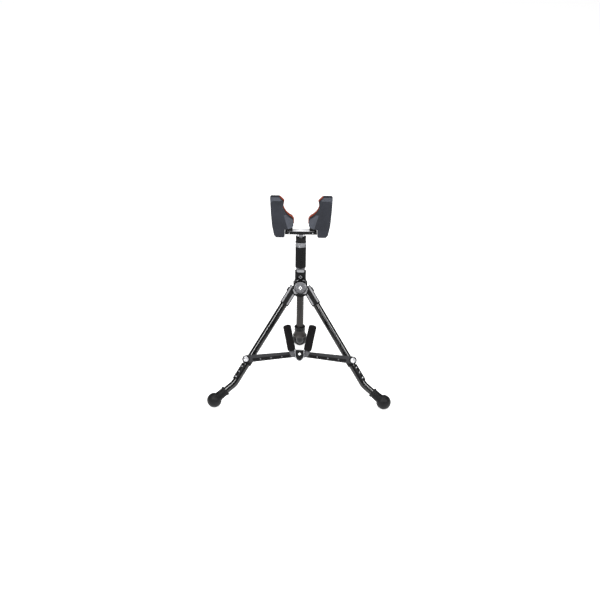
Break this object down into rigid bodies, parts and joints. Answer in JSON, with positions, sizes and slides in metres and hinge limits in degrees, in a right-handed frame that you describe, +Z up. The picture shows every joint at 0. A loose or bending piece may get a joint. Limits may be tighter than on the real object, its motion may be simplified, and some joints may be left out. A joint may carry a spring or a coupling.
{
  "type": "folding instrument stand",
  "caption": "Folding tripod stand for a musical instrument, with an open padded cradle on a height-adjustable column and foam-covered rest pegs on its strut brace.",
  "frame": {"origin": "on the floor, at the middle of the footprint's bounding box", "axes": "+Z up, +X to the stand's right seen from the front, +Y towards the rear leg"},
  "size_m": [0.4046, 0.3524, 0.449],
  "materials": {
    "leg_tube": "gloss black powder coat on steel tube",
    "moulding": "moulded black glass-filled nylon",
    "strut_plastic": "moulded dark grey glass-filled nylon",
    "column_paint": "satin dark grey powder coat",
    "pad_rubber": "moulded charcoal rubber",
    "liner_rubber": "orange silicone rubber liner",
    "foam": "black closed-cell neoprene foam",
    "foot_rubber": "moulded black rubber",
    "cap_steel": "zinc plated steel",
    "disc_metal": "grey anodised aluminium",
    "collar_metal": "grey anodised aluminium",
    "plate_steel": "black powder coat on steel plate",
    "button_grey": "moulded grey acetal",
    "elbow_grey": "moulded light grey nylon",
    "strip_grey": "moulded light grey nylon",
    "ring_rubber": "black rubber end ring"
  },
  "bodies": {
    "base": {"hub_bracket": "moulding", "hub_body": "moulding", "hub_ring": "moulding", "hub_disc": "disc_metal", "leg_pins": "cap_steel", "column_clamp": "moulding", "clamp_screws": "cap_steel", "lever_fork": "moulding"},
    "leg_left": {"leg_socket_left": "moulding", "leg_tube_left": "leg_tube", "leg_guard_left": "moulding", "leg_rivets_left": "cap_steel", "strut_boss_left": "moulding", "foot_left": "foot_rubber"},
    "leg_right": {"leg_socket_right": "moulding", "leg_tube_right": "leg_tube", "leg_guard_right": "moulding", "leg_rivets_right": "cap_steel", "strut_boss_right": "moulding", "foot_right": "foot_rubber"},
    "leg_rear": {"leg_socket_rear": "moulding", "leg_tube_rear": "leg_tube", "leg_guard_rear": "moulding", "leg_rivets_rear": "cap_steel", "foot_rear": "foot_rubber"},
    "button_left": {"leg_button_left": "button_grey"},
    "button_right": {"leg_button_right": "button_grey"},
    "button_rear": {"leg_button_rear": "button_grey"},
    "brace_hub": {"lower_hub": "plate_steel", "lower_hub_block": "moulding", "peg_pins": "cap_steel"},
    "strut_left": {"strut_left": "strut_plastic", "strut_rivets_left": "cap_steel", "pivot_ring_left": "moulding", "pivot_cap_left": "cap_steel"},
    "strut_right": {"strut_right": "strut_plastic", "strut_rivets_right": "cap_steel", "pivot_ring_right": "moulding", "pivot_cap_right": "cap_steel"},
    "peg_left": {"peg_elbow_left": "elbow_grey", "peg_foam_left": "foam"},
    "peg_right": {"peg_elbow_right": "elbow_grey", "peg_foam_right": "foam"},
    "column": {"column_tube": "column_paint", "column_bell": "column_paint", "column_ring": "ring_rubber", "arm_strip": "strip_grey", "arm_body": "moulding", "arm_collar": "collar_metal"},
    "lever": {"clamp_lever": "moulding"},
    "head": {"swivel_head": "moulding"},
    "cradle": {"cradle_bracket": "plate_steel", "tilt_screw": "cap_steel", "cradle_plate": "plate_steel", "cradle_bolts": "cap_steel", "cradle_pad_left": "pad_rubber", "cradle_pad_right": "pad_rubber", "cradle_liner_left": "liner_rubber", "cradle_liner_right": "liner_rubber"}
  },
  "joints": [
    {"name": "front_legs_fold", "type": "hinge", "parent": "base", "child": "leg_left", "pos_m": [-0.009, -0.05503, 0.2407], "axis": [0, -0.9063, 0.4226], "range_deg": [0, 31.3]},
    {"name": "leg_right_fold", "type": "hinge", "parent": "base", "child": "leg_right", "pos_m": [0.009, -0.05503, 0.2407], "axis": [0, 0.9063, -0.4226], "range_deg": [0, 31.3]},
    {"name": "leg_rear_fold", "type": "hinge", "parent": "base", "child": "leg_rear", "pos_m": [0, -0.00903, 0.232], "axis": [-1, 0, 0], "range_deg": [0, 29]},
    {"name": "brace_hub_rise", "type": "slide", "parent": "base", "child": "brace_hub", "axis": [0, 0.4226, 0.9063], "range_m": [0, 0.06435]},
    {"name": "strut_left_swing", "type": "hinge", "parent": "brace_hub", "child": "strut_left", "pos_m": [-0.0075, -0.1261, 0.11385], "axis": [0, -0.9063, 0.4226], "range_deg": [0, 77.19]},
    {"name": "strut_right_swing", "type": "hinge", "parent": "brace_hub", "child": "strut_right", "pos_m": [0.0075, -0.1261, 0.11385], "axis": [0, 0.9063, -0.4226], "range_deg": [0, 77.19]},
    {"name": "peg_left_tilt", "type": "hinge", "parent": "brace_hub", "child": "peg_left", "pos_m": [-0.0151, -0.14435, 0.12015], "axis": [1, 0, 0], "range_deg": [-18, 55]},
    {"name": "peg_right_tilt", "type": "hinge", "parent": "brace_hub", "child": "peg_right", "pos_m": [0.0151, -0.14435, 0.12015], "axis": [1, 0, 0], "range_deg": [-18, 55]},
    {"name": "button_left_press", "type": "slide", "parent": "leg_left", "child": "button_left", "axis": [0.8545, -0.2196, -0.4708], "range_m": [0, 0.0015], "stiffness_N_per_m": 600},
    {"name": "button_right_press", "type": "slide", "parent": "leg_right", "child": "button_right", "axis": [-0.8545, -0.2196, -0.4708], "range_m": [0, 0.0015], "stiffness_N_per_m": 600},
    {"name": "button_rear_press", "type": "slide", "parent": "leg_rear", "child": "button_rear", "axis": [0, -0.8674, -0.4976], "range_m": [0, 0.0015], "stiffness_N_per_m": 600},
    {"name": "column_height", "type": "slide", "parent": "base", "child": "column", "axis": [0, 0, 1], "range_m": [0, 0.07]},
    {"name": "clamp_lever_swing", "type": "hinge", "parent": "base", "child": "lever", "pos_m": [0, -0.00853, 0.2597], "axis": [-1, 0, 0], "range_deg": [0, 85]},
    {"name": "head_swivel", "type": "hinge", "parent": "column", "child": "head", "pos_m": [0, -0.03303, 0.344], "axis": [0, 0, 1], "range_deg": [-90, 90]},
    {"name": "cradle_tilt", "type": "hinge", "parent": "head", "child": "cradle", "pos_m": [0, -0.03303, 0.3597], "axis": [1, 0, 0], "range_deg": [-12, 25]}
  ],
  "couplings": [
    {"joint": "leg_right_fold", "follows": "front_legs_fold", "ratio": 1},
    {"joint": "brace_hub_rise", "follows": "front_legs_fold", "m_per_rad": 0.11779},
    {"joint": "strut_left_swing", "follows": "front_legs_fold", "ratio": 2.4661},
    {"joint": "strut_right_swing", "follows": "front_legs_fold", "ratio": 2.4661}
  ]
}
